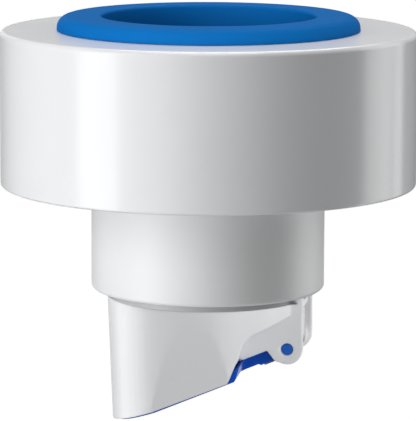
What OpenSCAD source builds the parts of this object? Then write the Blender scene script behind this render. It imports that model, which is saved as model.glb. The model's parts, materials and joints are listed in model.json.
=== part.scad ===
// Odour-proof drain connector: a waste pipe pushes into the blue seal ring on top, the collar
// goes down into the floor pipe, and a sprung flap closes the slanted mouth of the valve tube.
// Millimetres, +Z up. The origin is the centre of the drum's underside, at the top of the collar.
// +X points to the flap's hinge.

/* [Drum] */
// Outside diameter of the drum
drum_d = 80; // [66:0.5:110]
// Height of the drum
drum_h = 29.7; // [25:0.1:45]
// Thickness of the drum's side wall
drum_wall = 2.6; // [2:0.1:4]
// Thickness of the drum's top plate
top_t = 3; // [2.4:0.1:4]
// Radius of the drum's top edge
drum_edge_r = 1; // [0.4:0.1:2]
// Radius of the drum's bottom edge
drum_rim_r = 0.6; // [0.2:0.1:1.2]

/* [Seal ring] */
// Outside diameter of the waste pipe that pushes into the seal ring
pipe_d = 40; // [32:0.5:50]
// How far the seal ring's mouth stands off the pipe
mouth_gap = 0.5; // [0.2:0.1:1.5]
// Width of the bead that lies on the drum
bead_w = 8.8; // [7:0.1:10]
// Height of the bead
bead_h = 2.8; // [2:0.1:4]
// Radius of the bead's outer shoulder
bead_r = 1.4; // [0.5:0.1:1.8]
// Radius of the bead's inner lip
lip_r = 0.6; // [0.2:0.1:1]
// Width of the seal's neck, where it passes through the drum's top
neck_w = 4; // [3.2:0.1:5]
// Wall of the seal's skirt, which hangs round the pipe
skirt_t = 2.4; // [1.6:0.1:3]
// Length of the skirt below the seal's flange
skirt_h = 9; // [7:0.5:12]
// Number of gripping ridges inside the skirt
ridges = 3; // [2:1:4]

/* [Base and collar] */
// Outside diameter of the collar that goes into the floor pipe
collar_d = 45; // [37:0.5:56]
// Length of the collar
collar_h = 20.2; // [14:0.1:30]
// Thickness of the collar's wall
collar_wall = 2; // [1.6:0.1:3]
// Radius of the collar's bottom edge
collar_edge_r = 0.9; // [0.3:0.1:1.2]
// Thickness of the base plate
base_t = 3; // [2.4:0.1:4]
// Height of the base plate's rim inside the drum
base_rim_h = 8; // [7.5:0.5:10]
// Number of ribs on the base plate
ribs = 12; // [6:1:18]

/* [Valve tube] */
// Thickness of the valve tube's wall
tube_wall = 1.8; // [1.4:0.1:2.4]
// How much the tube's radius shrinks in each millimetre below the ring
tube_taper = 0.041; // [0.01:0.001:0.06]
// Slope of the mouth from level
mouth_a = 23; // [15:1:30]
// Depth of the mouth's high end, at the step, below the collar
step_drop = 15.5; // [14:0.1:22]
// Height of the step, square to the mouth
step_h = 6.65; // [6:0.05:9]
// Slope of the step from the mouth
step_a = 45; // [40:1:60]
// Lean of the flats on the tube's front and back
flat_a = 8.7; // [4:0.1:10]
// Depth below the collar where the flats start
flat_drop = 3.6; // [2:0.1:6]

/* [Hinge] */
// Diameter of the hinge pin
pin_d = 2.2; // [1.8:0.1:3]
// Distance of the pin's axis in from the outside of the tube
pin_inset = 2.85; // [2:0.05:4]
// Height of the pin's axis over the plane of the mouth
pin_lift = 0.85; // [0.5:0.05:1.2]
// Distance along the mouth's plane from the step to the pin's axis
hinge_reach = 11.6; // [10:0.1:15]
// Radius of each ear's round end
ear_r = 2.95; // [2.6:0.05:3.6]
// Distance over the two ears
ears_w = 17.8; // [16:0.1:22]
// Thickness of each ear
ear_t = 1.7; // [1.4:0.1:2.4]
// Diameter of the spring's wire
wire_d = 0.6; // [0.4:0.05:0.8]
// Number of turns in the spring
turns = 7; // [4:1:8]

/* [Flap] */
// Thickness of the flap's plate
plate_t = 1.9; // [1.6:0.1:2.6]
// How far the flap stands proud of the mouth
flap_proud = 0.4; // [0.2:0.05:0.8]
// Thickness of the seal on the flap
flap_seal_t = 0.9; // [0.6:0.1:1.4]
// Thickness of the step wall on the flap
riser_t = 0.9; // [0.7:0.1:1.4]
// Thickness of the flap's arm
arm_t = 2.6; // [2:0.1:3.2]

/* [Hidden] */
$fn = 120;

white = [0.93, 0.93, 0.94];
silicone_blue = [0.11, 0.42, 0.71];
flap_blue = [0.06, 0.2, 0.6];
ring_grey = [0.62, 0.63, 0.65];
gasket_black = [0.12, 0.12, 0.13];
steel = [0.72, 0.73, 0.75];

eps = 0.01;             // overlap that makes a cut clean
far = 60;               // reach of a cut that runs right off the part
fit_gap = 0.05;         // stands between pieces that are pushed together
slide_gap = 0.15;       // stands between pieces that slip together or move
pin_gap = 0.05;         // running clearance of the pin in the ears

// Drum
drum_r = drum_d / 2;
drum_in = drum_r - drum_wall;
top_z = drum_h - top_t;                      // underside of the top plate

// Seal ring
pipe_r = pipe_d / 2;
mouth_r = pipe_r + mouth_gap;
bead_out = mouth_r + bead_w;
neck_r = mouth_r + neck_w;
flange_r = neck_r + 2;
flange_t = 2.5;
skirt_r = mouth_r + skirt_t;
skirt_z = top_z - flange_t;                  // underside of the seal's flange
ridge_h = 1;
ridge_pitch = skirt_h / (ridges + 0.5);

// Sleeve and its screws
sleeve_wall = 2;
sleeve_in = skirt_r + slide_gap;
sleeve_flange_t = 3;
sleeve_top = skirt_z;
sleeve_flange_z = sleeve_top - sleeve_flange_t;
screw_circle = (flange_r + drum_in) / 2;
screws = 6;
screw_r = 1.1;
head_r = 2;
head_h = 1.4;
boss_r = 2;
screw_tip_z = drum_h - 1.4;

// Stack of pieces over the collar, from the ledge up
collar_r = collar_d / 2;
collar_in = collar_r - collar_wall;
ring_room = 1.1;                             // round gap between collar and tube
tube_r = collar_in - ring_room;
tube_in = tube_r - tube_wall;
seat_r = max(collar_r, pipe_r + slide_gap + sleeve_wall) + 0.5;
ledge_z = 2;
gasket_t = 1;
flange_z = ledge_z + gasket_t;               // underside of the valve tube's flange
tube_flange_t = 2;
tube_top = flange_z + tube_flange_t;
sleeve_z = tube_top + gasket_t;              // foot of the sleeve
stop_z = sleeve_z + 2.5;                     // ledge that stops the pipe
seat_wall = 2.2;
seat_h = sleeve_z + 3;

// Base plate in the drum
base_r = drum_in - slide_gap;
rim_t = 4;
snap_z = 1.9;
snap_r = 0.5;
o_ring_d = 2;
o_ring_z = 5;
o_groove_h = o_ring_d + 0.2;
rib_t = 1.6;
floor_in = base_r - 7.5;
floor_out = base_r - 3;
floor_t = 1.4;

// Grey ring under the collar
lip_h = 3;                                   // height of the collar's inner lip
lip_in = tube_r + 0.25;
ring_drop = 1.4;                             // how far the ring shows below the collar
ring_z = -collar_h - ring_drop;
ring_h = ring_drop + 1.3;
ring_depth = 0.7;

// Mouth of the valve tube
pin_x = tube_r - pin_inset;
step_x = pin_x - hinge_reach * cos(mouth_a) + pin_lift * sin(mouth_a);
step_z = -collar_h - step_drop;
tip_z = step_z - (step_x + tube_r) * tan(mouth_a) - 2;
tip_r = tube_r - tube_taper * (ring_z - tip_z);
bend_r = 4;                                  // round bend at the head of the step
bulkhead_t = 1.6;                            // wall that closes the tube along the step
flat_z = -collar_h - flat_drop;
flat_y = tube_r - tube_taper * (ring_z - flat_z);

// Recess in the mouth that the flap closes into
mouth_low_z = step_z - (step_x + tube_r) * tan(mouth_a);
rim_wall = 0.8;
pocket_r = tube_r - tube_taper * (ring_z - mouth_low_z) - rim_wall;
flat_low_z = step_z - (step_x + tube_r / 2) * tan(mouth_a);
pocket_y = flat_y - (flat_z - flat_low_z) * tan(flat_a) - rim_wall;
pocket_d = plate_t - flap_proud + flap_seal_t;

// Hinge
pin_r = pin_d / 2;
pin_z = step_z + hinge_reach * sin(mouth_a) + pin_lift * cos(mouth_a);
ear_gap = ears_w - 2 * ear_t;
ear_edge = 2;                                // lower edge of the cheeks over the mouth's plane
heel_u = hinge_reach - 3.1;                  // where the ear's heel stands
heel_w = -0.4;
spacer_l = 2;                                // bosses inside the ears that keep the flap in the middle
spacer_r = 2.1;
arm_w = ear_gap - 2 * (spacer_l + slide_gap);
knuckle_r = 1.8;
arm_step_u = 4.7;                            // step under the arm, along the mouth's plane
arm_step = 0.35;
slot_u = 6.2;                                // where the slot for the spring starts
wire_r = wire_d / 2;
coil_pitch = wire_d + 0.1;
coil_r = pin_lift + flap_proud + arm_step + wire_r;   // middle of the wire to the pin's axis
coil_w = turns * coil_pitch;
coil_gap = coil_w + wire_d + 0.7;            // slot between the flap's lugs
leg_h = (step_h - pin_lift + coil_r * sin(mouth_a)) / cos(mouth_a);   // spring's leg up to the tube
stop_w = 1.2;                                // lug on the tube that the leg bears on
mouth_len = (step_x + tube_r) / cos(mouth_a);    // from the step to the tip
retainer_u = -0.47 * mouth_len;              // middle of the flap's plate
retainer_r = 0.34 * mouth_len - 0.6;
retainer_t = 1;
rivet_r = 1.2;
rivet_head_r = 2.6;
rivet_head_h = 1;

// A square corner with its point at [x, z], minus the round that replaces it. The signs sx and
// sz say which way the solid lies.
module corner_cut(x, z, r, sx, sz)
    translate([x, z]) scale([sx, sz]) difference() {
        translate([-eps, -eps]) square(r + eps);
        translate([r, r]) circle(r);
    }

// A box in a revolved outline, from radius a to b and from z0 to z1
module band(a, b, z0, z1) translate([a, z0]) square([b - a, z1 - z0]);

// A flat ring
module washer(a, b, z0, z1) rotate_extrude() band(a, b, z0, z1);

// Places children round a circle in the drum
module around(count, r, start = 0)
    for (i = [0 : count - 1]) rotate(start + i * 360 / count) translate([r, 0, 0]) children();

// The frame of the mouth: x runs up its slope from the foot of the step, z is square to it
module on_mouth() translate([step_x, 0, step_z]) rotate([0, -mouth_a, 0]) children();

// An outline in that frame, or in the part's own XZ plane, given a width along Y
module across(w) rotate([90, 0, 0]) linear_extrude(w, center = true) children();

// Points of a bend of radius r that replaces the corner b between a and c
function unit(v) = v / norm(v);
function bend(a, b, c, r, n = 8) =
    let (d = unit(a - b), e = unit(c - b), half = acos(d * e) / 2,
         m = b + unit(d + e) * r / sin(half), p = b + d * r / tan(half) - m,
         side = d.x * e.y - d.y * e.x > 0 ? -1 : 1, turn = side * (180 - 2 * half))
    [for (i = [0 : n]) let (t = turn * i / n)
        m + [p.x * cos(t) - p.y * sin(t), p.x * sin(t) + p.y * cos(t)]];

// What the mouth and the step take off the tube, moved into the tube by t
module step_cut(t) {
    foot = [-t / sin(step_a), 0];
    head = foot + (step_h + t) * [1 / tan(step_a), 1];
    right = [far, step_h + t];
    polygon(concat([foot - [0, far], foot], bend(foot, head, right, bend_r), [right, [far, -far]]));
}

// The tube's outside, or its inside if it is taken in by t
module tube_form(t) {
    difference() {
        union() {
            translate([0, 0, ring_z]) cylinder(h = tube_top - ring_z, r = tube_r - t);
            translate([0, 0, tip_z]) cylinder(h = ring_z - tip_z, r1 = tip_r - t, r2 = tube_r - t);
        }
        for (side = [0, 1]) mirror([0, side, 0])
            translate([0, flat_y - t, flat_z]) rotate([-flat_a, 0, 0])
                translate([-far, 0, -far]) cube([2 * far, far, far + 3]);
    }
}

// The prism that the flap closes into, less a gap all round
module pocket_form(gap)
    intersection() {
        translate([0, 0, tip_z - 1]) cylinder(h = far, r = pocket_r - gap);
        translate([-far, -pocket_y + gap, tip_z - 1]) cube([2 * far, 2 * (pocket_y - gap), far]);
    }

module drum_shell() {
    color(white) difference() {
        union() {
            rotate_extrude() difference() {
                band(0, drum_r, 0, drum_h);
                band(-eps, drum_in, -eps, top_z);
                band(-eps, neck_r + fit_gap, top_z - eps, drum_h + eps);
                corner_cut(drum_r, drum_h, drum_edge_r, -1, -1);
                corner_cut(drum_r, 0, drum_rim_r, -1, 1);
                translate([drum_in, snap_z]) circle(snap_r + slide_gap);
            }
            around(screws, screw_circle)
                translate([0, 0, sleeve_top]) cylinder(h = top_z - sleeve_top + eps, r = boss_r);
        }
        around(screws, screw_circle) translate([0, 0, sleeve_top - eps])
            cylinder(h = screw_tip_z - sleeve_top + 0.2, r = screw_r + fit_gap);
    }
}

module seal_ring() {
    ridge_r = mouth_gap;
    color(silicone_blue) rotate_extrude() difference() {
        union() {
            band(mouth_r, bead_out, drum_h, drum_h + bead_h);
            band(mouth_r, neck_r, top_z - eps, drum_h + eps);
            band(mouth_r, flange_r, skirt_z, top_z);
            band(mouth_r, skirt_r, skirt_z - skirt_h, skirt_z + eps);
            for (i = [1 : ridges])
                band(mouth_r - ridge_r, mouth_r + eps, skirt_z - i * ridge_pitch,
                     skirt_z - i * ridge_pitch + ridge_h);
        }
        corner_cut(bead_out, drum_h + bead_h, bead_r, -1, -1);
        corner_cut(mouth_r, drum_h + bead_h, lip_r, 1, -1);
        corner_cut(skirt_r, skirt_z - skirt_h, skirt_t / 3, -1, 1);
    }
}

module pipe_sleeve() {
    foot_r = seat_r - slide_gap;
    neck_z = skirt_z - skirt_h - 1;           // where the bore narrows from the skirt to the pipe
    color(white) difference() {
        rotate_extrude() difference() {
            union() {
                band(0, screw_circle + boss_r + 1, sleeve_flange_z, sleeve_top);
                band(0, sleeve_in + sleeve_wall, neck_z - sleeve_wall, sleeve_top - eps);
                band(0, foot_r, sleeve_z, neck_z);
            }
            band(-eps, tube_in, sleeve_z - eps, stop_z + eps);
            band(-eps, pipe_r + slide_gap, stop_z, neck_z + eps);
            band(-eps, sleeve_in, neck_z, sleeve_top + eps);
        }
        around(screws, screw_circle) translate([0, 0, sleeve_flange_z - eps])
            cylinder(h = sleeve_flange_t + 2 * eps, r = screw_r + slide_gap);
    }
}

module sleeve_screws() {
    slot_w = 0.6;
    color(steel) around(screws, screw_circle) difference() {
        union() {
            translate([0, 0, sleeve_flange_z - eps])
                cylinder(h = screw_tip_z - sleeve_flange_z + eps, r = screw_r);
            translate([0, 0, sleeve_flange_z]) mirror([0, 0, 1]) rotate_extrude() difference() {
                band(0, head_r, 0, head_h);
                corner_cut(head_r, head_h, 0.5, -1, -1);
            }
        }
        for (a = [0, 90]) rotate(a) translate([-head_r * 0.6, -slot_w / 2, sleeve_flange_z - head_h - eps])
            cube([head_r * 1.2, slot_w, head_h * 0.6]);
    }
}

module base_body() {
    color(white) union() {
        rotate_extrude() difference() {
            union() {
                band(0, base_r, 0, base_t);
                band(base_r - rim_t, base_r, 0, base_rim_h);
                band(0, seat_r + seat_wall, 0, seat_h);
                band(0, collar_r, -collar_h, eps);
                translate([base_r, snap_z]) circle(snap_r);
            }
            band(-eps, collar_in, -collar_h + lip_h, ledge_z + eps);
            band(-eps, lip_in, -collar_h - eps, -collar_h + lip_h + eps);
            band(-eps, seat_r, ledge_z, seat_h + eps);
            band(floor_in, floor_out, -eps, floor_t);
            band(drum_in - o_ring_d - fit_gap, base_r + eps, o_ring_z, o_ring_z + o_groove_h);
            corner_cut(collar_r, -collar_h, collar_edge_r, -1, 1);
            corner_cut(base_r, base_rim_h, 0.6, -1, -1);
        }
        around(ribs, 0, 180 / ribs)
            translate([seat_r + seat_wall - 0.5, -rib_t / 2, base_t - eps])
                cube([base_r - rim_t - seat_r - seat_wall + 1, rib_t, base_rim_h - base_t - 1]);
    }
}

module base_o_ring() {
    color(gasket_black) rotate_extrude()
        translate([drum_in - fit_gap / 2 - o_ring_d / 2, o_ring_z + o_groove_h / 2])
            circle(o_ring_d / 2 - fit_gap / 4);
}

module floor_gasket() {
    color(gasket_black) washer(floor_in + fit_gap, floor_out - fit_gap, 0, floor_t);
}

module sleeve_gasket() {
    color(gasket_black) washer(tube_in, seat_r - slide_gap, tube_top, sleeve_z);
}

module tube_gasket() {
    color(gasket_black) washer(tube_r + slide_gap, seat_r - slide_gap, ledge_z, flange_z);
}

// A rod along the hinge's axis
module hinge_rod(r, h) translate([pin_x, 0, pin_z]) rotate([90, 0, 0]) cylinder(h = h, r = r, center = true);

// One ear: the cheek along the tube and the round end that holds the pin
module ear() {
    notch = [heel_u - 0.6, ear_edge];
    heel = [heel_u, heel_w];
    low_left = [hinge_reach, pin_lift] + ear_r * [cos(238), sin(238)];
    on_mouth() across(ear_t)
        polygon(concat([[ear_edge / tan(step_a) - 0.4, ear_edge]],
            bend([0, ear_edge], notch, heel, 0.4, 4), bend(notch, heel, low_left, 0.6, 4),
            [low_left, [hinge_reach, pin_lift], [hinge_reach, step_h + 1],
             [step_h / tan(step_a), step_h + 1]]));
    hinge_rod(ear_r, ear_t);
    translate([pin_x - ear_r, -ear_t / 2, pin_z])
        cube([2 * ear_r, ear_t, -collar_h - slide_gap - pin_z]);
}

// The boss inside one ear
module ear_spacer()
    translate([pin_x, ear_gap / 2 + eps, pin_z]) rotate([90, 0, 0]) cylinder(h = spacer_l + eps, r = spacer_r);

// The lug under the step that the spring's upper leg bears on
module spring_stop()
    translate([pin_x + coil_r - wire_r - stop_w, -coil_gap / 2, pin_z + leg_h - 2])
        cube([stop_w, coil_gap, 2.2]);

module valve_tube() {
    color(white) difference() {
        union() {
            difference() {
                tube_form(0);
                on_mouth() across(2 * far) step_cut(0);
                on_mouth() translate([-2 * far, -far, -far]) cube([2 * far + eps, 2 * far, far]);
            }
            translate([0, 0, flange_z]) cylinder(h = tube_flange_t, r = seat_r - slide_gap);
            difference() {
                for (side = [-1, 1]) translate([0, side * (ears_w - ear_t) / 2, 0]) ear();
                translate([0, 0, ring_z]) cylinder(h = far, r = lip_in + slide_gap);
            }
            for (side = [0, 1]) mirror([0, side, 0]) ear_spacer();
            spring_stop();
        }
        difference() {
            tube_form(tube_wall);
            on_mouth() across(2 * far) step_cut(bulkhead_t);
        }
        translate([0, 0, flange_z - eps]) cylinder(h = tube_flange_t + 2 * eps, r = tube_in);
        intersection() {
            pocket_form(0);
            on_mouth() across(2 * far) polygon([[-far, -far], [0, -far], [0, 0],
                [pocket_d / tan(step_a), pocket_d], [-far, pocket_d]]);
        }
        washer(tube_r - ring_depth, tube_r + 1, ring_z, ring_z + ring_h);
        hinge_rod(pin_r + pin_gap, 2 * ears_w);
    }
}

module collar_ring() {
    color(ring_grey) rotate_extrude() union() {
        band(tube_r - ring_depth + fit_gap, tube_r + 0.1, ring_z, ring_z + ring_h - fit_gap);
        band(tube_r, lip_in - fit_gap, -collar_h + 0.3, ring_z + ring_h - fit_gap);
    }
}

module flap() {
    low = -flap_proud;
    high = plate_t - flap_proud;
    gap = slide_gap / sin(step_a);
    top = ear_edge - 0.1;
    color(flap_blue) difference() {
        union() {
            intersection() {
                pocket_form(slide_gap);
                on_mouth() across(2 * far) polygon(concat([[-far, high], [-far, low]],
                    bend([-far, low], [gap + riser_t, low], [gap + riser_t + top, top], riser_t),
                    [[gap + riser_t + top, top], [gap + top, top], [gap + high, high]]));
            }
            on_mouth() across(arm_w) polygon([[gap + high - 0.4, high - 0.4], [0.5, low],
                [arm_step_u, low], [arm_step_u + 0.3, low - arm_step],
                [hinge_reach, low - arm_step], [hinge_reach, pin_lift],
                [hinge_reach - knuckle_r, low + arm_t], [gap + top, low + arm_t]]);
            hinge_rod(knuckle_r, arm_w);
        }
        on_mouth() translate([slot_u, -coil_gap / 2, -far / 2]) cube([far, coil_gap, far]);
        hinge_rod(pin_r + fit_gap / 2, 2 * arm_w);
        on_mouth() translate([retainer_u, 0, 0]) cylinder(h = far, r = rivet_r + fit_gap);
    }
}

module flap_seal() {
    low = plate_t - flap_proud;
    end_u = low / tan(step_a);
    color(silicone_blue) difference() {
        intersection() {
            pocket_form(2 * slide_gap);
            on_mouth() translate([-2 * far, -far, low]) cube([2 * far + end_u, 2 * far, flap_seal_t]);
        }
        on_mouth() translate([retainer_u, 0, 0]) cylinder(h = far, r = rivet_r + fit_gap);
    }
}

module seal_retainer() {
    color(flap_blue) on_mouth() translate([retainer_u, 0, plate_t - flap_proud + flap_seal_t])
        rotate_extrude() difference() {
            band(rivet_r + fit_gap, retainer_r, 0, retainer_t);
            corner_cut(retainer_r, retainer_t, retainer_t / 2, -1, -1);
        }
}

module retainer_rivet() {
    head_w = plate_t - flap_proud + flap_seal_t + retainer_t;
    color(steel) on_mouth() translate([retainer_u, 0, 0]) {
        translate([0, 0, fit_gap]) cylinder(h = head_w, r = rivet_r);
        translate([0, 0, head_w]) rotate_extrude() difference() {
            band(0, rivet_head_r, 0, rivet_head_h);
            corner_cut(rivet_head_r, rivet_head_h, rivet_head_h * 0.7, -1, -1);
        }
    }
}

module hinge_pin() {
    color(flap_blue) hinge_rod(pin_r, ears_w);
}

// Torsion spring: a coil round the pin, with one leg under the flap's arm and one up to the tube.
// Each row of the list is a point of the wire's middle line and the way out from the coil there.
module torsion_spring() {
    sides = 8;
    steps = 16;                               // rings in one turn
    start = mouth_a - 90;                     // where the leg under the arm leaves the coil
    low_leg = hinge_reach - arm_step_u - 0.6;
    coil = [for (t = [start : 360 / steps : 360 * turns - 5]) let (out = [cos(t), sin(t)])
        [[coil_r * out.x, coil_w * (t / 360 / turns - 0.5), coil_r * out.y], out]];
    first = coil[0];
    end = [[coil_r, coil_w / 2, 0], [1, 0]];
    path = concat([[first[0] - low_leg * [cos(mouth_a), 0, sin(mouth_a)], first[1]]], coil,
                  [end, [end[0] + [0, 0, leg_h - 0.3], [1, 0]]]);
    vertices = [for (row = path) for (k = [0 : sides - 1]) let (a = k * 360 / sides)
        row[0] + wire_r * [cos(a) * row[1].x, sin(a), cos(a) * row[1].y]];
    last = len(path) - 1;
    faces = concat(
        [[for (k = [sides - 1 : -1 : 0]) k]],
        [for (i = [0 : last - 1]) for (k = [0 : sides - 1]) let (n = (k + 1) % sides)
            [i * sides + k, i * sides + n, (i + 1) * sides + n, (i + 1) * sides + k]],
        [[for (k = [0 : sides - 1]) last * sides + k]]);
    color(steel) translate([pin_x, 0, pin_z]) polyhedron(vertices, faces);
}

drum_shell();
seal_ring();
pipe_sleeve();
sleeve_screws();
base_body();
base_o_ring();
floor_gasket();
sleeve_gasket();
tube_gasket();
valve_tube();
collar_ring();
flap();
flap_seal();
seal_retainer();
retainer_rivet();
hinge_pin();
torsion_spring();
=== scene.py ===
import json
import math

import bmesh
import bpy
from mathutils import Matrix, Vector

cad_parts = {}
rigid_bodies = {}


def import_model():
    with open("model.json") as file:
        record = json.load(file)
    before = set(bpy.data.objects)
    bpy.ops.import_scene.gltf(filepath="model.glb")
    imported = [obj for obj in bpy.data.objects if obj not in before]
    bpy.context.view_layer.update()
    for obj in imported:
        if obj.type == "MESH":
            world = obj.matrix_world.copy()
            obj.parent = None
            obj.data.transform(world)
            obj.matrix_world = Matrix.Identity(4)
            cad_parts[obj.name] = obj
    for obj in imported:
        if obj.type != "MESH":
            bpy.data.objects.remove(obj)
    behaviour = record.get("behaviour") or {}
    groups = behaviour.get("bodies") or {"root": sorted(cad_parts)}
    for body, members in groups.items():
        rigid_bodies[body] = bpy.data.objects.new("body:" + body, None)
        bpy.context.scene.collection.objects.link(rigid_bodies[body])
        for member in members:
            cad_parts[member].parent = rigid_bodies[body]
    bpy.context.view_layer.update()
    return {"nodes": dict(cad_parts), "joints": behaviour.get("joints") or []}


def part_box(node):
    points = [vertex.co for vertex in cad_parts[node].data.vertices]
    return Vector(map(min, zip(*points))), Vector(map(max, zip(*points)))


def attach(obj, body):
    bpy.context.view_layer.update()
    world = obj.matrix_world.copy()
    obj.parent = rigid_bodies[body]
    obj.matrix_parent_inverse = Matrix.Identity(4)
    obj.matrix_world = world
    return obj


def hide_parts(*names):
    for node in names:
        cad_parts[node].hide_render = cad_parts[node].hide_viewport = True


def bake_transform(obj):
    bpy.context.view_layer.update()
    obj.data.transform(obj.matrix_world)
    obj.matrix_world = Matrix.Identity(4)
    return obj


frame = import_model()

mm = 0.001
scene = bpy.context.scene
scene.view_settings.view_transform = "Standard"
print("frame loaded")

# Places that several pieces share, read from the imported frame
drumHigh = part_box("drum_shell")[1]
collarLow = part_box("base_body")[0]
hinge = Vector(frame["joints"][0]["pos_m"])
drumRadius = drumHigh.x / mm
drumHeight = drumHigh.z / mm
oRingGap = 0.025
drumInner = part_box("base_o_ring")[1].x / mm + oRingGap
collarRadius = 22.5


def linkPiece(name, data):
    piece = bpy.data.objects.new(name, data)
    scene.collection.objects.link(piece)
    return piece


def placePiece(piece, body, material, nodes):
    piece.data.materials.clear()
    piece.data.materials.append(material)
    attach(piece, body)
    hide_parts(*nodes)
    return piece


def meshPiece(name, mesh):
    bmesh.ops.remove_doubles(mesh, verts=mesh.verts[:], dist=0.001 * mm)
    bmesh.ops.recalc_face_normals(mesh, faces=mesh.faces[:])
    data = bpy.data.meshes.new(name)
    mesh.to_mesh(data)
    mesh.free()
    data.polygons.foreach_set("use_smooth", [True] * len(data.polygons))
    piece = linkPiece(name, data)
    piece.modifiers.new("flatNormals", "WEIGHTED_NORMAL")
    return piece


# Turns a closed outline round the part's axis. A corner is (radius, height, rounding) in millimetres.
def turned(mesh, corners, steps=240, segments=6):
    verts = [mesh.verts.new((radius * mm, 0, height * mm)) for radius, height, rounding in corners]
    outline = set(verts)
    for start, end in zip(verts, verts[1:] + verts[:1]):
        mesh.edges.new((start, end))
    for vert, (radius, height, rounding) in zip(verts, corners):
        if rounding:
            outline.remove(vert)
            rounded = bmesh.ops.bevel(mesh, geom=[vert], offset=rounding * mm, offset_type="OFFSET",
                                      segments=segments, profile=0.5, affect="VERTICES", material=-1)
            outline.update(rounded["verts"])
    edges = {edge for vert in outline for edge in vert.link_edges}
    spun = bmesh.ops.spin(mesh, geom=list(outline) + list(edges), cent=(0, 0, 0), axis=(0, 0, 1),
                          angle=2 * math.pi, steps=steps, use_merge=True)
    return spun


# Copies a CAD node, joins its loose triangles into whole faces and rounds its sharp edges.
def softened(node, rounding, longest=0, segments=2, sharpAngle=30):
    mesh = bmesh.new()
    mesh.from_mesh(frame["nodes"][node].data)
    bmesh.ops.remove_doubles(mesh, verts=mesh.verts[:], dist=0.002 * mm)
    bmesh.ops.dissolve_limit(mesh, angle_limit=math.radians(0.3), use_dissolve_boundaries=False,
                             verts=mesh.verts[:], edges=mesh.edges[:], delimit=set())
    sharp = [edge for edge in mesh.edges if edge.calc_face_angle(0) > math.radians(sharpAngle)]
    bmesh.ops.bevel(mesh, geom=sharp, offset=rounding * mm, offset_type="OFFSET", segments=segments,
                    profile=0.5, affect="EDGES", clamp_overlap=False, loop_slide=True, material=-1)
    if longest:                       # small faces keep the shading of a soft crease in its place
        bmesh.ops.triangulate(mesh, faces=mesh.faces[:])
        for halving in range(5):
            tooLong = [edge for edge in mesh.edges if edge.calc_length() > longest * mm]
            bmesh.ops.subdivide_edges(mesh, edges=tooLong, cuts=1)
            bmesh.ops.triangulate(mesh, faces=mesh.faces[:])
    return mesh


def newMaterial(name):
    material = bpy.data.materials.new(name)
    material.use_nodes = True
    return material, material.node_tree, material.node_tree.nodes["Principled BSDF"]


# Moulding grain: a slow unevenness of the surface and a fine texture over it
def makeGrain():
    group = bpy.data.node_groups.new("mouldGrain", "ShaderNodeTree")
    for name, default in (("Waves", 0.02), ("Wave Size", 60.0), ("Texture", 0.01), ("Texture Size", 1500.0),
                          ("Roughness", 0.3), ("Roughness Spread", 0.04)):
        socket = group.interface.new_socket(name, in_out="INPUT", socket_type="NodeSocketFloat")
        socket.default_value = default
    group.interface.new_socket("Roughness", in_out="OUTPUT", socket_type="NodeSocketFloat")
    group.interface.new_socket("Normal", in_out="OUTPUT", socket_type="NodeSocketVector")
    nodes, links = group.nodes, group.links
    given, out = nodes.new("NodeGroupInput"), nodes.new("NodeGroupOutput")
    place = nodes.new("ShaderNodeTexCoord")
    waves, texture = nodes.new("ShaderNodeTexNoise"), nodes.new("ShaderNodeTexNoise")
    for noise, size in ((waves, "Wave Size"), (texture, "Texture Size")):
        noise.inputs["Detail"].default_value = 2.0
        links.new(place.outputs["Object"], noise.inputs["Vector"])
        links.new(given.outputs[size], noise.inputs["Scale"])
    slow, fine = nodes.new("ShaderNodeBump"), nodes.new("ShaderNodeBump")
    slow.inputs["Distance"].default_value = 1.0 * mm
    fine.inputs["Distance"].default_value = 0.05 * mm
    links.new(waves.outputs["Fac"], slow.inputs["Height"])
    links.new(given.outputs["Waves"], slow.inputs["Strength"])
    links.new(texture.outputs["Fac"], fine.inputs["Height"])
    links.new(given.outputs["Texture"], fine.inputs["Strength"])
    links.new(slow.outputs["Normal"], fine.inputs["Normal"])
    links.new(fine.outputs["Normal"], out.inputs["Normal"])
    centre = nodes.new("ShaderNodeMath")
    centre.operation = "SUBTRACT"
    centre.inputs[1].default_value = 0.5
    links.new(waves.outputs["Fac"], centre.inputs[0])
    spread = nodes.new("ShaderNodeMath")
    spread.operation = "MULTIPLY_ADD"
    links.new(centre.outputs[0], spread.inputs[0])
    links.new(given.outputs["Roughness Spread"], spread.inputs[1])
    links.new(given.outputs["Roughness"], spread.inputs[2])
    links.new(spread.outputs[0], out.inputs["Roughness"])
    return group


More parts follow.
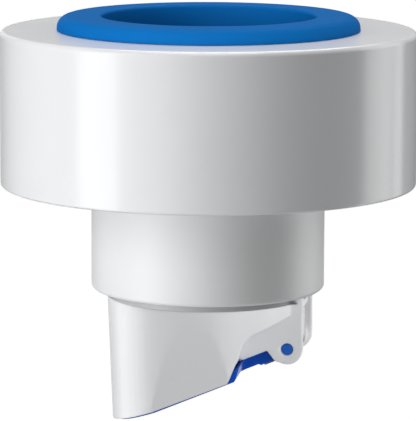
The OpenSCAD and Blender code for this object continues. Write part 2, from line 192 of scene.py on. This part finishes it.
# Handling marks: soft patches, a little darker than the clean moulding
def makeMarks():
    group = bpy.data.node_groups.new("handlingMarks", "ShaderNodeTree")
    for name, kind, default in (("Color", "NodeSocketColor", (0.8, 0.8, 0.8, 1)),
                                ("Marked Color", "NodeSocketColor", (0.7, 0.7, 0.7, 1)),
                                ("Marks", "NodeSocketFloat", 0.3), ("Mark Size", "NodeSocketFloat", 90.0)):
        group.interface.new_socket(name, in_out="INPUT", socket_type=kind).default_value = default
    group.interface.new_socket("Color", in_out="OUTPUT", socket_type="NodeSocketColor")
    nodes, links = group.nodes, group.links
    given, out = nodes.new("NodeGroupInput"), nodes.new("NodeGroupOutput")
    place, patches = nodes.new("ShaderNodeTexCoord"), nodes.new("ShaderNodeTexNoise")
    patches.inputs["Detail"].default_value = 5.0
    patches.inputs["Roughness"].default_value = 0.6
    links.new(place.outputs["Object"], patches.inputs["Vector"])
    links.new(given.outputs["Mark Size"], patches.inputs["Scale"])
    spread = nodes.new("ShaderNodeMapRange")
    spread.inputs["From Min"].default_value = 0.5
    spread.inputs["From Max"].default_value = 0.8
    links.new(patches.outputs["Fac"], spread.inputs["Value"])
    amount = nodes.new("ShaderNodeMath")
    amount.operation = "MULTIPLY"
    links.new(spread.outputs["Result"], amount.inputs[0])
    links.new(given.outputs["Marks"], amount.inputs[1])
    blend = nodes.new("ShaderNodeMix")
    blend.data_type = "RGBA"
    links.new(amount.outputs[0], blend.inputs["Factor"])
    links.new(given.outputs["Color"], blend.inputs[6])
    links.new(given.outputs["Marked Color"], blend.inputs[7])
    links.new(blend.outputs[2], out.inputs["Color"])
    return group


grain = makeGrain()
handling = makeMarks()


def plastic(name, colour, roughness, waves, texture, textureSize=1500.0, marks=0.15, specular=0.5):
    material, tree, shader = newMaterial(name)
    surface = tree.nodes.new("ShaderNodeGroup")
    surface.node_tree = grain
    surface.inputs["Waves"].default_value = waves
    surface.inputs["Texture"].default_value = texture
    surface.inputs["Texture Size"].default_value = textureSize
    surface.inputs["Roughness"].default_value = roughness
    marked = tree.nodes.new("ShaderNodeGroup")
    marked.node_tree = handling
    marked.inputs["Color"].default_value = (*colour, 1)
    marked.inputs["Marked Color"].default_value = (*[0.85 * part for part in colour], 1)
    marked.inputs["Marks"].default_value = marks
    tree.links.new(marked.outputs["Color"], shader.inputs["Base Color"])
    shader.inputs["Specular IOR Level"].default_value = specular
    tree.links.new(surface.outputs["Roughness"], shader.inputs["Roughness"])
    tree.links.new(surface.outputs["Normal"], shader.inputs["Normal"])
    return material


whiteAbs = plastic("whiteAbs", (0.852, 0.858, 0.874), 0.2, 0.01, 0.02)
satinAbs = plastic("satinAbs", (0.85, 0.855, 0.865), 0.42, 0.01, 0.03)
valveAbs = plastic("valveAbs", (0.85, 0.855, 0.872), 0.35, 0.01, 0.04)
blueSilicone = plastic("blueSilicone", (0.004, 0.125, 0.4), 0.6, 0.02, 0.1, marks=0.3, specular=0.012)
blueAbs = plastic("blueAbs", (0.006, 0.085, 0.52), 0.35, 0.03, 0.05, specular=0.1)
pinBlue = plastic("pinBlue", (0.02, 0.13, 0.56), 0.4, 0.01, 0.05, specular=0.1)
# The ring below the collar is darker than the white parts round it: partly its own grey, partly painted
# shade for the shaded band under the collar
greyRubber = plastic("greyRubber", (0.5, 0.51, 0.53), 0.4, 0.02, 0.2)
blackRubber = plastic("blackRubber", (0.02, 0.02, 0.02), 0.6, 0.02, 0.3)
stainless = plastic("stainless", (0.6, 0.6, 0.58), 0.25, 0.0, 0.1)
stainless.node_tree.nodes["Principled BSDF"].inputs["Metallic"].default_value = 1.0
print("materials made")

drum = {"top": 3.0, "hole": 24.55, "topRound": 1.0, "rimRound": 0.6, "snapHeight": 1.9, "snapGroove": 0.65,
        "snapRound": 0.3, "edgeRound": 0.2, "cornerRound": 0.8, "footRound": 0.3, "bosses": 6,
        "bossCircle": 31.95, "bossRadius": 2.0, "bossHole": 1.15, "bossFoot": 24.2, "bossSink": 0.1,
        "bossHoleRound": 0.1, "bossSteps": 32, "bossSegments": 2}


def makeDrum():
    d = drum
    mesh = bmesh.new()
    inner, under = drumInner, drumHeight - d["top"]
    snap, groove = d["snapHeight"], d["snapGroove"]
    turned(mesh, [(drumRadius, 0, d["rimRound"]), (drumRadius, drumHeight, d["topRound"]),
                  (d["hole"], drumHeight, d["edgeRound"]), (d["hole"], under, d["edgeRound"]),
                  (inner, under, d["cornerRound"]), (inner, snap + groove, 0),
                  (inner + groove, snap, d["snapRound"]), (inner, snap - groove, 0),
                  (inner, 0, d["footRound"])])
    for boss in range(d["bosses"]):
        tube = bmesh.new()
        top = under + d["bossSink"]
        turned(tube, [(d["bossHole"], d["bossFoot"], d["bossHoleRound"]),
                      (d["bossRadius"], d["bossFoot"], d["edgeRound"]),
                      (d["bossRadius"], top, 0), (d["bossHole"], top, 0)], d["bossSteps"], d["bossSegments"])
        place = (Matrix.Rotation(2 * math.pi * boss / d["bosses"], 4, "Z")
                 @ Matrix.Translation((d["bossCircle"] * mm, 0, 0)))
        bmesh.ops.transform(tube, matrix=place, verts=tube.verts[:])
        part = bpy.data.meshes.new("boss")
        tube.to_mesh(part)
        mesh.from_mesh(part)
    return placePiece(meshPiece("drum_shell_moulded", mesh), "housing", whiteAbs, ["drum_shell"])


sealRing = {"mouth": 20.5, "beadOut": 29.05, "beadHeight": 2.8, "shoulder": 2.3, "lip": 0.6,
            "beadGap": 0.02, "beadFootRound": 0.15, "neck": 24.5, "flangeOut": 26.5, "flangeFoot": 24.2,
            "flangeRound": 0.2, "flangeFootRound": 0.3, "skirtOut": 22.9, "skirtFoot": 15.2,
            "skirtRound": 0.8, "skirtInRound": 0.4, "steps": 240, "segments": 8}
# A ridge inside the skirt starts at its foot and has these heights over it
ridge = {"count": 3, "depth": 0.5, "rootLow": -0.1, "crestLow": 0.3, "crestHigh": 0.7, "rootHigh": 1.1,
         "round": 0.2}


def makeSealRing():
    s, r = sealRing, ridge
    topZ, beadFoot = drumHeight + s["beadHeight"], drumHeight + s["beadGap"]
    under = drumHeight - drum["top"]
    corners = [(s["mouth"], topZ, s["lip"]), (s["beadOut"], topZ, s["shoulder"]),
               (s["beadOut"], beadFoot, s["beadFootRound"]), (s["neck"], beadFoot, 0),
               (s["neck"], under, 0), (s["flangeOut"], under, s["flangeRound"]),
               (s["flangeOut"], s["flangeFoot"], s["flangeFootRound"]),
               (s["skirtOut"], s["flangeFoot"], s["skirtInRound"]),
               (s["skirtOut"], s["skirtFoot"], s["skirtRound"]),
               (s["mouth"], s["skirtFoot"], s["skirtInRound"])]
    pitch = (s["flangeFoot"] - s["skirtFoot"]) / (r["count"] + 0.5)
    crest = s["mouth"] - r["depth"]
    for number in range(r["count"], 0, -1):
        foot = s["flangeFoot"] - number * pitch
        corners += [(s["mouth"], foot + r["rootLow"], r["round"]),
                    (crest, foot + r["crestLow"], r["round"]),
                    (crest, foot + r["crestHigh"], r["round"]),
                    (s["mouth"], foot + r["rootHigh"], r["round"])]
    mesh = bmesh.new()
    turned(mesh, corners, s["steps"], s["segments"])
    ring = meshPiece("seal_ring_moulded", mesh)
    return placePiece(ring, "housing", blueSilicone, ["seal_ring"])


base = {"plate": 37.25, "plateTop": 3.0, "rimTop": 8.0, "rimInner": 33.25, "seat": 23.0, "seatOut": 25.2,
        "seatTop": 9.0, "ledge": 2.0, "bore": 20.5, "lip": 19.65, "lipHeight": 3.0, "collarRound": 0.9,
        "gasketIn": 29.75, "gasketOut": 34.25, "gasketDepth": 1.4, "snap": 0.5, "snapHeight": 1.9,
        "grooveFoot": 5.0, "grooveTop": 7.2, "grooveRadius": 35.35,
        "fineRound": 0.1, "smallRound": 0.2, "edgeRound": 0.3, "rootRound": 0.4,
        "ribs": 12, "ribWidth": 1.6, "ribTop": 7.0, "ribSink": 0.1, "ribOverlap": 0.5}


def makeBase():
    b = base
    foot, collar, plate = collarLow.z / mm, collarRadius, b["plate"]
    fine, small, edge, root = b["fineRound"], b["smallRound"], b["edgeRound"], b["rootRound"]
    snapLow, snapHigh = b["snapHeight"] - b["snap"], b["snapHeight"] + b["snap"]
    mesh = bmesh.new()
    turned(mesh, [(collar, foot, b["collarRound"]), (collar, 0, small), (b["gasketIn"], 0, fine),
                  (b["gasketIn"], b["gasketDepth"], fine), (b["gasketOut"], b["gasketDepth"], fine),
                  (b["gasketOut"], 0, fine), (plate, 0, small), (plate, snapLow, 0),
                  (plate + b["snap"], b["snapHeight"], edge), (plate, snapHigh, 0),
                  (plate, b["grooveFoot"], fine), (b["grooveRadius"], b["grooveFoot"], fine),
                  (b["grooveRadius"], b["grooveTop"], fine), (plate, b["grooveTop"], fine),
                  (plate, b["rimTop"], root), (b["rimInner"], b["rimTop"], edge),
                  (b["rimInner"], b["plateTop"], root), (b["seatOut"], b["plateTop"], root),
                  (b["seatOut"], b["seatTop"], edge), (b["seat"], b["seatTop"], edge),
                  (b["seat"], b["ledge"], small), (b["bore"], b["ledge"], small),
                  (b["bore"], foot + b["lipHeight"], fine), (b["lip"], foot + b["lipHeight"], fine),
                  (b["lip"], foot, edge)])
    inner, outer = b["seatOut"] - b["ribOverlap"], b["rimInner"] + b["ribOverlap"]
    ribFoot = b["plateTop"] - b["ribSink"]
    size = Vector((outer - inner, b["ribWidth"], b["ribTop"] - ribFoot)) * mm
    middle = Vector(((outer + inner) / 2, 0, (b["ribTop"] + ribFoot) / 2)) * mm
    for rib in range(b["ribs"]):
        place = (Matrix.Rotation(2 * math.pi * (rib + 0.5) / b["ribs"], 4, "Z")
                 @ Matrix.Translation(middle) @ Matrix.Diagonal((*size, 1)))
        bmesh.ops.create_cube(mesh, size=1, matrix=place)
    piece = meshPiece("base_body_moulded", mesh)
    return placePiece(piece, "housing", satinAbs, ["base_body"])


makeDrum()
makeSealRing()
makeBase()
print("drum, seal ring and base made")

# node: body, record slot, material, rounding of its edges, longest edge where creases are soft
mouldings = {"valve_tube": ("housing", "valve_abs", valveAbs, 0.2, 1.6),
             "pipe_sleeve": ("housing", "white_abs", whiteAbs, 0.2, 0),
             # the collar ring's grey tone is partly painted shade for the band under the collar
             "collar_ring": ("housing", "grey_rubber", greyRubber, 0.1, 0),
             "floor_gasket": ("housing", "black_rubber", blackRubber, 0.15, 0),
             "sleeve_gasket": ("housing", "black_rubber", blackRubber, 0.1, 0),
             "tube_gasket": ("housing", "black_rubber", blackRubber, 0.1, 0),
             "flap": ("flap_body", "blue_abs", blueAbs, 0.08, 1.1),
             "flap_seal": ("flap_body", "blue_silicone", blueSilicone, 0.15, 0),
             "hinge_pin": ("flap_body", "pin_blue", pinBlue, 0.15, 0)}
for node, (body, slot, material, rounding, longest) in mouldings.items():
    moulded = meshPiece(node + "_moulded", softened(node, rounding, longest))
    placePiece(moulded, body, material, [node])

keptNodes = {"base_o_ring": blackRubber, "sleeve_screws": stainless, "seal_retainer": blueAbs,
             "retainer_rivet": stainless}
for node, material in keptNodes.items():
    frame["nodes"][node].data.materials.clear()
    frame["nodes"][node].data.materials.append(material)
print("moulded pieces made")

# The wire goes once round the pin for each turn. One leg lies under the flap's arm, and one stands up to
# the tube. A leg's inner points lie at these shares of its length.
spring = {"wire": 0.6, "turns": 7, "pitch": 0.7, "coilRadius": 1.9, "slope": 23.0, "flapLeg": 6.3,
          "tubeLeg": 6.7, "legShares": (0.33, 0.66, 1), "stepsPerTurn": 24, "wireRoundness": 4}


def makeSpring():
    w = spring
    width = w["turns"] * w["pitch"]
    start, finish = math.radians(w["slope"] - 90), 2 * math.pi * w["turns"]
    count = int(w["stepsPerTurn"] * w["turns"])
    points = []
    for step in range(count + 1):
        turn = start + (finish - start) * step / count
        points.append(Vector((w["coilRadius"] * math.cos(turn), width * (turn / finish - 0.5),
                              w["coilRadius"] * math.sin(turn))))
    along = Vector((math.cos(math.radians(w["slope"])), 0, math.sin(math.radians(w["slope"]))))
    points = ([points[0] - along * w["flapLeg"] * share for share in reversed(w["legShares"])] + points
              + [points[-1] + Vector((0, 0, w["tubeLeg"] * share)) for share in w["legShares"]])
    curve = bpy.data.curves.new("springWire", "CURVE")
    curve.dimensions = "3D"
    curve.bevel_depth = w["wire"] / 2 * mm
    curve.bevel_resolution = w["wireRoundness"]
    curve.use_fill_caps = True
    wire = curve.splines.new("POLY")
    wire.points.add(len(points) - 1)
    for knot, point in zip(wire.points, points):
        knot.co = (*(hinge + point * mm), 1)
    bent = linkPiece("springCurve", curve)
    data = bpy.data.meshes.new_from_object(bent)
    bpy.data.objects.remove(bent)
    piece = linkPiece("torsion_spring_wire", data)
    data.polygons.foreach_set("use_smooth", [True] * len(data.polygons))
    data.materials.clear()
    data.materials.append(stainless)
    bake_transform(piece)
    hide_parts("torsion_spring")


makeSpring()
print("spring made")

cameraPlace = {"target": (0, 0, -5.35), "distance": 614.0, "azimuth": 8.0, "elevation": 9.12, "roll": 0.195,
               "lens": 271.93}


def makeCamera():
    c = cameraPlace
    side, up = math.radians(c["azimuth"]), math.radians(c["elevation"])
    back = Vector((math.sin(side) * math.cos(up), -math.cos(side) * math.cos(up), math.sin(up)))
    data = bpy.data.cameras.new("camera")
    data.lens = c["lens"]
    data.sensor_width = 36.0
    camera = linkPiece("camera", data)
    camera.location = (Vector(c["target"]) + back * c["distance"]) * mm
    camera.rotation_mode = "QUATERNION"
    camera.rotation_quaternion = ((-back).to_track_quat("-Z", "Y")
                                  @ Matrix.Rotation(math.radians(c["roll"]), 3, "Z").to_quaternion())
    scene.camera = camera


stage = {"halfWidth": 6, "height": -0.16, "floorGrey": 0.9, "floorRoughness": 0.8, "worldGrey": 0.02}


def makeStage():
    mesh = bmesh.new()
    bmesh.ops.create_grid(mesh, x_segments=1, y_segments=1, size=stage["halfWidth"])
    bmesh.ops.translate(mesh, vec=(0, 0, stage["height"]), verts=mesh.verts[:])
    data = bpy.data.meshes.new("floor")
    mesh.to_mesh(data)
    floor = linkPiece("floor", data)
    material, tree, shader = newMaterial("paleFloor")
    shader.inputs["Base Color"].default_value = (*[stage["floorGrey"]] * 3, 1)
    shader.inputs["Roughness"].default_value = stage["floorRoughness"]
    shader.inputs["Emission Color"].default_value = (1, 1, 1, 1)
    shader.inputs["Emission Strength"].default_value = 1.0
    data.materials.append(material)
    below, clear = tree.nodes.new("ShaderNodeNewGeometry"), tree.nodes.new("ShaderNodeBsdfTransparent")
    oneSided = tree.nodes.new("ShaderNodeMixShader")      # a look from below passes through the floor
    tree.links.new(below.outputs["Backfacing"], oneSided.inputs["Fac"])
    tree.links.new(shader.outputs["BSDF"], oneSided.inputs[1])
    tree.links.new(clear.outputs["BSDF"], oneSided.inputs[2])
    tree.links.new(oneSided.outputs["Shader"], tree.nodes["Material Output"].inputs["Surface"])
    floor.visible_diffuse = False
    floor.visible_glossy = False
    floor.visible_shadow = False
    world = bpy.data.worlds.new("studio")
    world.use_nodes = True
    nodes, links = world.node_tree.nodes, world.node_tree.links
    dim, white = nodes["Background"], nodes.new("ShaderNodeBackground")
    dim.inputs["Color"].default_value = (*[stage["worldGrey"]] * 3, 1)
    white.inputs["Color"].default_value = (1, 1, 1, 1)
    rays, seen = nodes.new("ShaderNodeLightPath"), nodes.new("ShaderNodeMixShader")
    links.new(rays.outputs["Is Camera Ray"], seen.inputs["Fac"])
    links.new(dim.outputs["Background"], seen.inputs[1])
    links.new(white.outputs["Background"], seen.inputs[2])
    links.new(seen.outputs["Shader"], nodes["World Output"].inputs["Surface"])
    scene.world = world


# name: azimuth and elevation in degrees, distance, width, height and middle height in metres, brightness
bodyLights = {"keyPanel": (-53, 0, 0.7, 0.298, 1.1, -0.05, 0.97),
              "frontPanel": (-28, 0, 0.7, 0.45, 1.1, -0.05, 0.3),
              "middlePanel": (-4, 0, 0.7, 0.2, 1.1, -0.05, 0.11),
              "leftRim": (-156, 0, 0.7, 0.147, 1.1, -0.05, 0.12),
              "rightRim": (112, 0, 0.7, 0.298, 1.1, -0.05, 0.74),
              "rightEdge": (132, 0, 0.7, 0.147, 1.1, -0.05, 0.54),
              "topPanel": (0, 82, 0.8, 0.45, 0.45, 0, 1.25),
              "backPanel": (180, 50, 0.8, 0.45, 0.45, 0, 1.0),
              "topSheen": (188, 13, 0.9, 1.1, 0.4, 0.03, 0.07),
              "lowPanel": (-45, -55, 0.8, 0.45, 0.45, 0, 0.4)}
valveLights = {"valveLeft": (-96, 0, 0.7, 0.62, 1.1, -0.05, 0.78),
               "valveRight": (36, 0, 0.7, 0.62, 1.1, -0.05, 0.39),
               "valveFront": (-24, 0, 0.7, 0.6, 1.1, -0.05, 0.1),
               "valveSide": (90, 0, 0.7, 0.3, 1.1, -0.05, 0.5),
               "valveLow": (-40, -50, 0.8, 0.45, 0.45, 0, 0.15),
               "valveBack": (168, 5, 0.7, 0.6, 1.1, -0.05, 0.3)}
sealLights = {"sealPanel": (-8, 4, 0.8, 0.7, 0.2, 0.02, 2.3)}
valvePieces = ("valve_tube", "flap", "flap_seal", "hinge_pin", "torsion_spring", "seal_retainer",
               "retainer_rivet")


def makeLights(lights, receivers):
    for name, (side, up, distance, width, height, middle, brightness) in lights.items():
        data = bpy.data.lights.new(name, "AREA")
        data.shape = "RECTANGLE"
        data.size, data.size_y = width, height
        data.energy = brightness * 4 * math.pi * width * height
        light = linkPiece(name, data)
        a, e = math.radians(side), math.radians(up)
        back = Vector((math.sin(a) * math.cos(e), -math.cos(a) * math.cos(e), math.sin(e)))
        light.location = back * distance + Vector((0, 0, middle))
        light.rotation_mode = "QUATERNION"
        light.rotation_quaternion = (-back).to_track_quat("-Z", "Y")
        light.visible_camera = False
        light.light_linking.receiver_collection = receivers


# The valve hangs in its own light, and one more panel is for the seal ring alone
bodyGroup, valveGroup = bpy.data.collections.new("litBody"), bpy.data.collections.new("litValve")
sealGroup = bpy.data.collections.new("litSeal")
for piece in scene.objects:
    if piece.type == "MESH":
        group = valveGroup if piece.name.startswith(valvePieces) else bodyGroup
        group.objects.link(piece)
    if piece.name.startswith("seal_ring"):
        sealGroup.objects.link(piece)
makeCamera()
makeStage()
makeLights(bodyLights, bodyGroup)
makeLights(valveLights, valveGroup)
makeLights(sealLights, sealGroup)
print("camera, floor and lights made")
